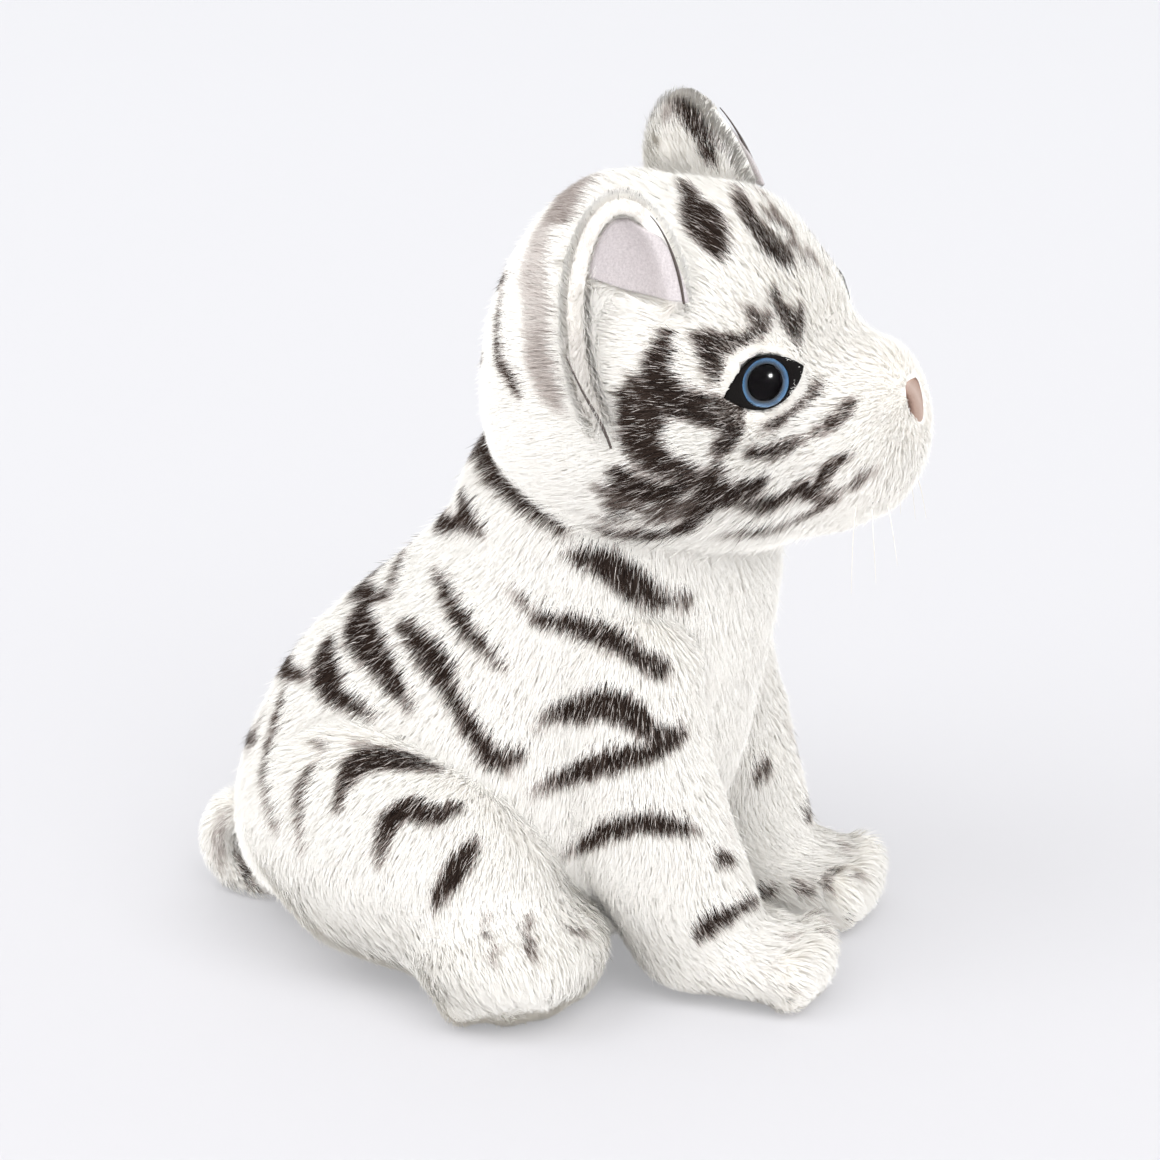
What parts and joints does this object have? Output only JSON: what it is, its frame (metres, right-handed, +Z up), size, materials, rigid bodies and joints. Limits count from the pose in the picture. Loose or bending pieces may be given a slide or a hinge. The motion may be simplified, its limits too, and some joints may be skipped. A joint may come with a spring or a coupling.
{
  "type": "plush tiger",
  "caption": "Sitting stuffed tiger cub in white fur with dark stripes, straight forelegs, turned-out hind feet, cupped ears, domed eyes and a short curled tail",
  "frame": {"origin": "on the floor, under the middle of the cub's bounding box", "axes": "+Z up, -Y the way the cub faces, +X its left side"},
  "size_m": [0.1682, 0.2134, 0.2448],
  "materials": {
    "white_fur": "matte",
    "ear_felt": "matte",
    "nose_felt": "matte",
    "dark_thread": "matte",
    "black_cloth": "satin",
    "clear_plastic": "gloss",
    "blue_paint": "gloss",
    "black_plastic": "gloss",
    "white_plastic": "satin",
    "nylon": "satin"
  },
  "bodies": {
    "body": {"torso": "white_fur", "foreleg_right": "white_fur", "thigh_right": "white_fur", "hind_foot_right": "white_fur", "foreleg_left": "white_fur", "thigh_left": "white_fur", "hind_foot_left": "white_fur"},
    "head": {"head": "white_fur", "muzzle": "white_fur", "chin": "white_fur", "nose": "nose_felt", "mouth_thread": "dark_thread", "ear_right": "white_fur", "ear_lining_right": "ear_felt", "ear_thread_front_right": "dark_thread", "ear_thread_back_right": "dark_thread", "eye_dome_right": "clear_plastic", "eye_iris_right": "blue_paint", "eye_pupil_right": "black_plastic", "eye_stem_right": "black_plastic", "eye_washer_right": "white_plastic", "eye_lid_right": "black_cloth", "whisker_right_1": "nylon", "whisker_right_2": "nylon", "whisker_right_3": "nylon", "ear_left": "white_fur", "ear_lining_left": "ear_felt", "ear_thread_front_left": "dark_thread", "ear_thread_back_left": "dark_thread", "eye_dome_left": "clear_plastic", "eye_iris_left": "blue_paint", "eye_pupil_left": "black_plastic", "eye_stem_left": "black_plastic", "eye_washer_left": "white_plastic", "eye_lid_left": "black_cloth", "whisker_left_1": "nylon", "whisker_left_2": "nylon", "whisker_left_3": "nylon"},
    "tail": {"tail": "white_fur"}
  },
  "joints": [
    {"name": "head_turn", "type": "hinge", "parent": "body", "child": "head", "pos_m": [0, -0.03084, 0.178], "axis": [0, -0.2924, 0.9563], "range_deg": [-20, 20], "stiffness_Nm_per_rad": 0.25},
    {"name": "tail_lift", "type": "hinge", "parent": "body", "child": "tail", "pos_m": [0, 0.09158, 0.026], "axis": [1, 0, 0], "range_deg": [0, 55], "stiffness_Nm_per_rad": 0.004}
  ]
}
